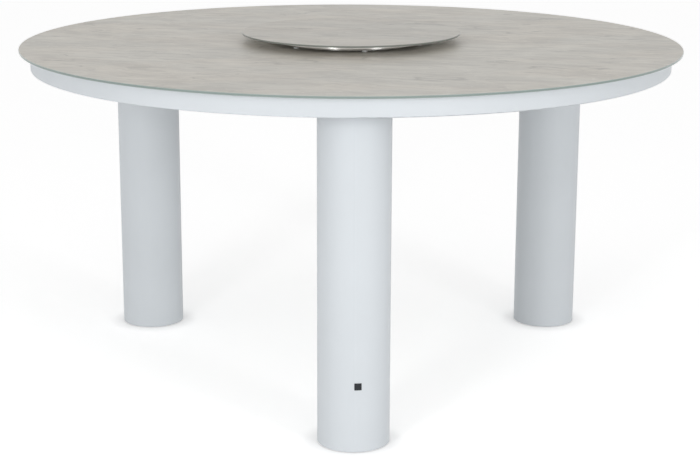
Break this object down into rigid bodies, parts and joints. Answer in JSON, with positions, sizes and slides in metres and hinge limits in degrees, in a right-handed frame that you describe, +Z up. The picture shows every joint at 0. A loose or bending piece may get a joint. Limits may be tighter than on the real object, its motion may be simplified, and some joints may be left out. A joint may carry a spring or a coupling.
{
  "type": "dining table",
  "caption": "Round dining table: printed glass top on a hollow ring frame, thick tubular legs, and a lazy susan that turns on a ball race.",
  "frame": {"origin": "on the floor under the middle of the table", "axes": "+Z up, -Y towards the front leg, +X to its right as seen from the front"},
  "size_m": [1.4998, 1.4998, 0.775],
  "materials": {
    "printed_glass": "satin glass printed with a warm grey stone, opaque",
    "powder_coated_aluminium": "light grey powder coat, matt",
    "bare_aluminium": "turned and polished",
    "silicone": "clear silicone, satin",
    "glide_plastic": "light grey polyethylene",
    "cage_plastic": "natural nylon",
    "steel_fasteners": "stainless steel",
    "steel_balls": "polished steel"
  },
  "bodies": {
    "table": {"table_top_glass": "printed_glass", "frame_ring": "powder_coated_aluminium", "frame_hub": "powder_coated_aluminium", "frame_hub_cap": "powder_coated_aluminium", "ring_pads": "silicone", "beam_pads": "silicone", "hub_pad": "silicone", "leg_bolts": "steel_fasteners", "leg_bolt_washers": "steel_fasteners", "frame_beam_front": "powder_coated_aluminium", "leg_mount_plate_front": "powder_coated_aluminium", "leg_tube_front": "powder_coated_aluminium", "leg_top_plate_front": "powder_coated_aluminium", "leg_bottom_plate_front": "powder_coated_aluminium", "foot_glide_front": "glide_plastic", "frame_beam_right": "powder_coated_aluminium", "leg_mount_plate_right": "powder_coated_aluminium", "leg_tube_right": "powder_coated_aluminium", "leg_top_plate_right": "powder_coated_aluminium", "leg_bottom_plate_right": "powder_coated_aluminium", "foot_glide_right": "glide_plastic", "frame_beam_left": "powder_coated_aluminium", "leg_mount_plate_left": "powder_coated_aluminium", "leg_tube_left": "powder_coated_aluminium", "leg_top_plate_left": "powder_coated_aluminium", "leg_bottom_plate_left": "powder_coated_aluminium", "foot_glide_left": "glide_plastic"},
    "susan_base": {"susan_fixed_ring": "bare_aluminium", "susan_feet": "silicone", "susan_filler_plug": "steel_fasteners"},
    "susan_turntable": {"susan_turning_ring": "bare_aluminium", "susan_disc_pads": "silicone", "susan_disc": "printed_glass"},
    "susan_cage": {"susan_ball_cage": "cage_plastic", "susan_balls": "steel_balls"}
  },
  "joints": [
    {"name": "susan_lift", "type": "slide", "parent": "table", "child": "susan_base", "axis": [0, 0, 1], "range_m": [0, 0.12]},
    {"name": "susan_spin", "type": "hinge", "parent": "susan_base", "child": "susan_turntable", "pos_m": [0, 0, 0.764], "axis": [0, 0, 1], "continuous": true},
    {"name": "ball_orbit", "type": "hinge", "parent": "susan_base", "child": "susan_cage", "pos_m": [0, 0, 0.764], "axis": [0, 0, 1], "continuous": true}
  ],
  "couplings": [
    {"joint": "ball_orbit", "follows": "susan_spin", "ratio": 0.50517}
  ]
}
